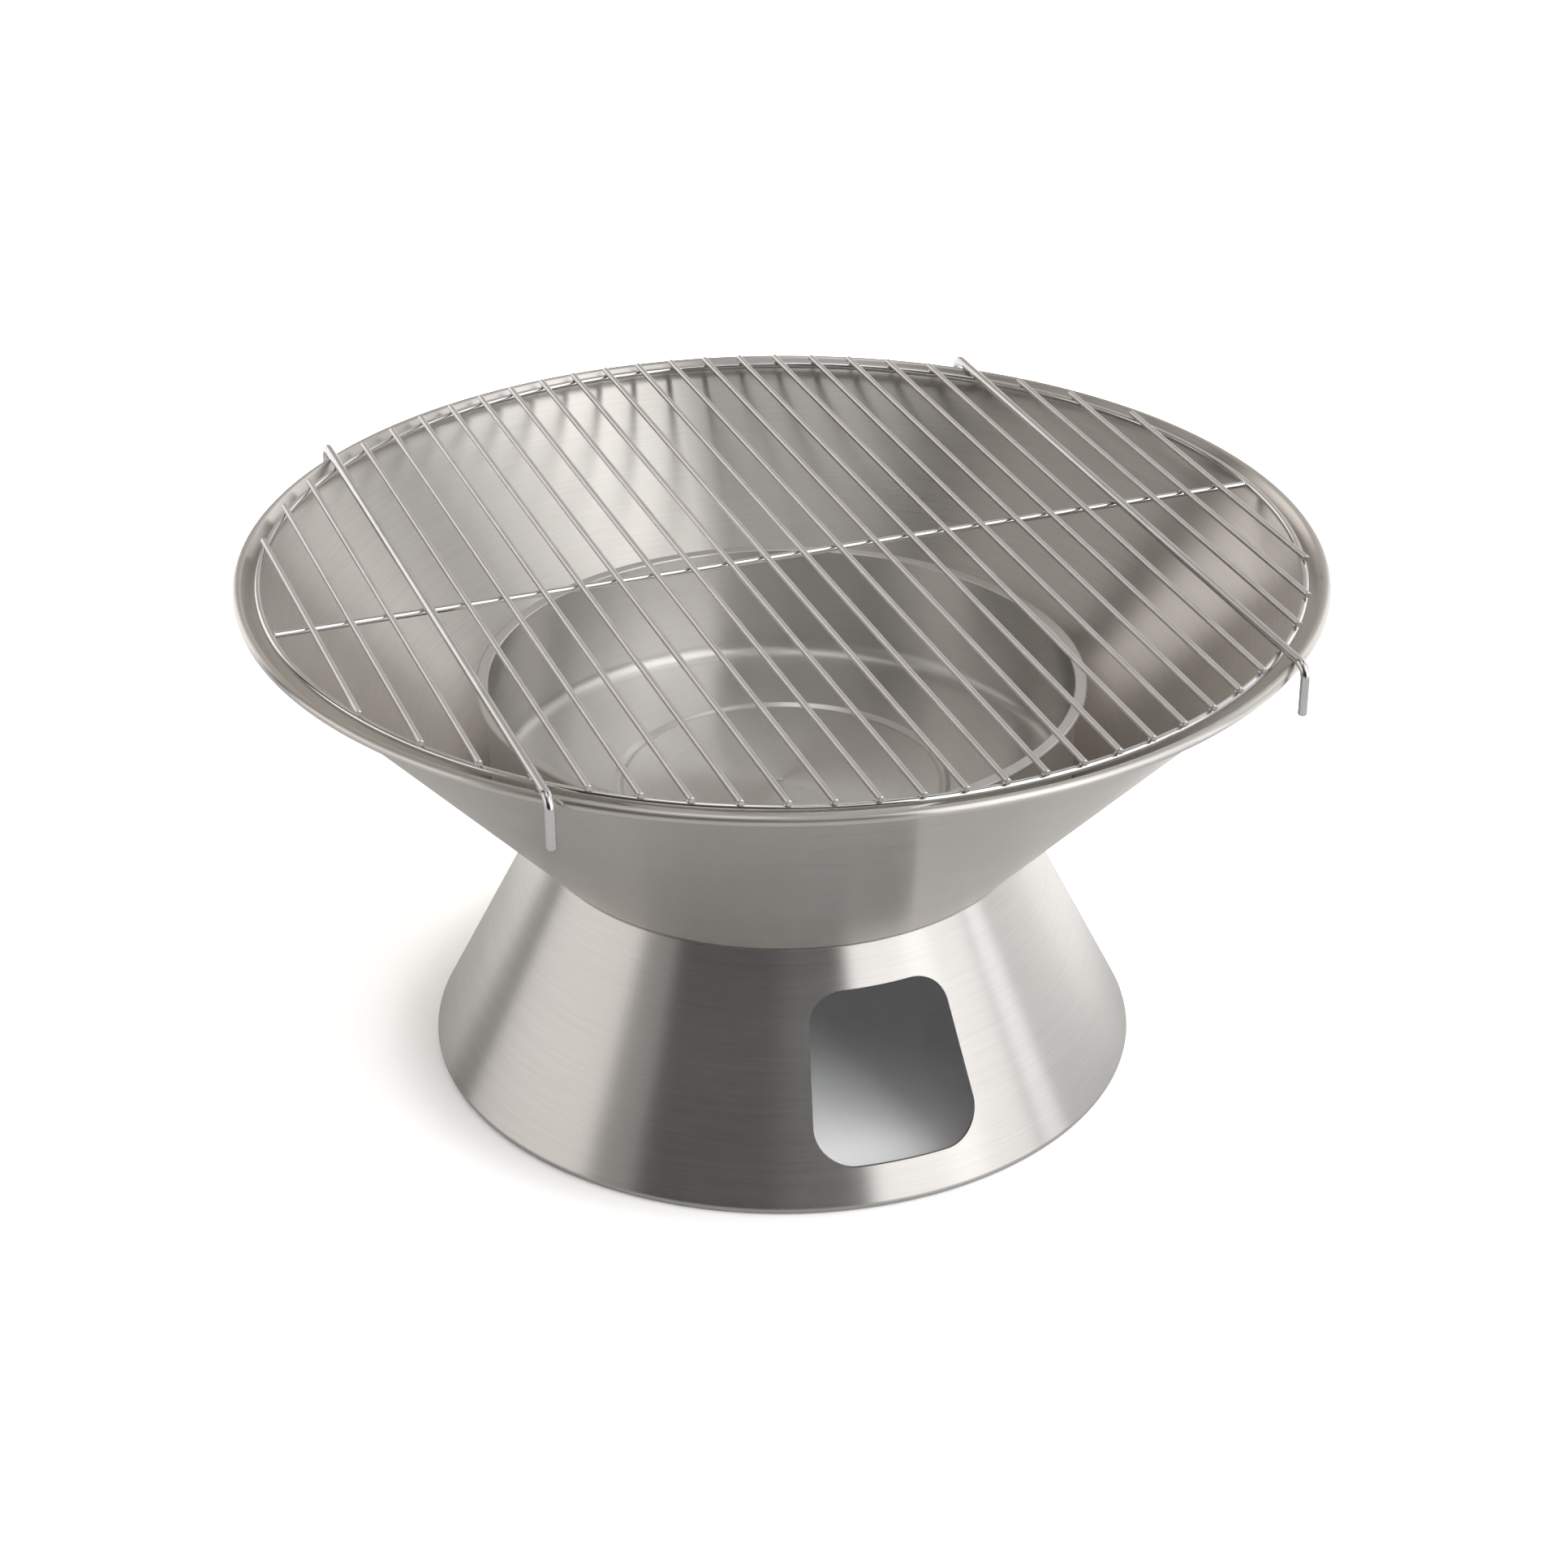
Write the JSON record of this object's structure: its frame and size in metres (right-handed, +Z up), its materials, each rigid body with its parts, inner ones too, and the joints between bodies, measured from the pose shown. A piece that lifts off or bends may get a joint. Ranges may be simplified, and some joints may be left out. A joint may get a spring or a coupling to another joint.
{
  "type": "fire pit with grate",
  "caption": "Conical steel fire bowl bolted to a conical base with an air opening, holding a loose fire pan and a lift-off wire cooking grate hung on hooks.",
  "frame": {"origin": "on the ground, on the vertical axis of the base and bowl", "axes": "+Z up along the axis; the air opening in the base faces -Y; the grate's bars run along Y and its cross wire along X"},
  "size_m": [0.5798, 0.5798, 0.2953],
  "materials": {
    "base_steel": "stainless sheet, brushed round the cone",
    "bowl_steel": "stainless sheet, finely brushed round the cone, satin inside",
    "pan_steel": "spun stainless sheet, fine circular grain",
    "ring_steel": "bright drawn stainless wire",
    "bar_steel": "satin stainless wire",
    "handle_steel": "bright drawn stainless wire",
    "fastener_steel": "plain stainless fasteners"
  },
  "bodies": {
    "stand": {"base_cone": "base_steel", "bowl_cone": "bowl_steel", "neck_bolt_1": "fastener_steel", "neck_bolt_2": "fastener_steel", "neck_bolt_3": "fastener_steel", "neck_bolt_4": "fastener_steel", "neck_nut_1": "fastener_steel", "neck_nut_2": "fastener_steel", "neck_nut_3": "fastener_steel", "neck_nut_4": "fastener_steel"},
    "pan": {"fire_pan": "pan_steel"},
    "grate": {"grate_ring": "ring_steel", "grate_cross_wire": "ring_steel", "grate_bar_01": "bar_steel", "grate_bar_02": "bar_steel", "grate_bar_03": "bar_steel", "grate_bar_04": "bar_steel", "grate_bar_05": "bar_steel", "grate_bar_06": "bar_steel", "grate_bar_07": "bar_steel", "grate_bar_08": "bar_steel", "grate_bar_09": "bar_steel", "grate_bar_10": "bar_steel", "grate_bar_11": "bar_steel", "grate_bar_12": "bar_steel", "grate_bar_13": "bar_steel", "grate_bar_14": "bar_steel", "grate_bar_15": "bar_steel", "grate_bar_16": "bar_steel", "grate_bar_17": "bar_steel", "grate_bar_18": "bar_steel", "grate_bar_19": "bar_steel", "grate_bar_20": "bar_steel", "grate_bar_21": "bar_steel", "grate_bar_22": "bar_steel", "grate_bar_23": "bar_steel", "grate_bar_24": "bar_steel", "handle_wire_left": "handle_steel", "handle_wire_right": "handle_steel"}
  },
  "joints": [
    {"name": "pan_lift", "type": "slide", "parent": "stand", "child": "pan", "axis": [0, 0, 1], "range_m": [0, 0.16]},
    {"name": "grate_lift", "type": "slide", "parent": "pan", "child": "grate", "axis": [0, 0, 1], "range_m": [0, 0.12]}
  ]
}
